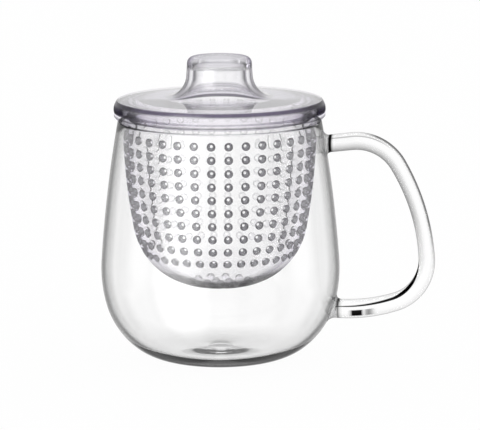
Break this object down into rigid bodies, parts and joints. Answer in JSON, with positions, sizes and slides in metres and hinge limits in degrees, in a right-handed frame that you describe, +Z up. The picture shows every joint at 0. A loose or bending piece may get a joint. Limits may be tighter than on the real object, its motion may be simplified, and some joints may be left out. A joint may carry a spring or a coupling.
{
  "type": "lidded tea mug",
  "caption": "Clear glass tea mug with a bent rod handle, a perforated infuser basket that hangs in its mouth and a lift-off lid with a hollow knob.",
  "frame": {"origin": "centre of the mug's flat base, on the surface it stands on", "axes": "+Z up along the mug's axis, +X from the axis towards the handle"},
  "size_m": [0.1258, 0.0898, 0.1134],
  "materials": {
    "mug_glass": "clear blown glass",
    "handle_glass": "clear glass rod, flame worked",
    "strainer_plastic": "clear, moulded, glossy",
    "lid_plastic": "clear, moulded, glossy"
  },
  "bodies": {
    "mug": {"mug_body": "mug_glass", "handle": "handle_glass", "upper_weld": "handle_glass", "lower_weld": "handle_glass"},
    "strainer": {"strainer": "strainer_plastic"},
    "lid": {"lid": "lid_plastic"}
  },
  "joints": [
    {"name": "strainer_lift", "type": "slide", "parent": "mug", "child": "strainer", "axis": [0, 0, 1], "range_m": [0, 0.07]},
    {"name": "lid_lift", "type": "slide", "parent": "strainer", "child": "lid", "axis": [0, 0, 1], "range_m": [0, 0.035]}
  ]
}
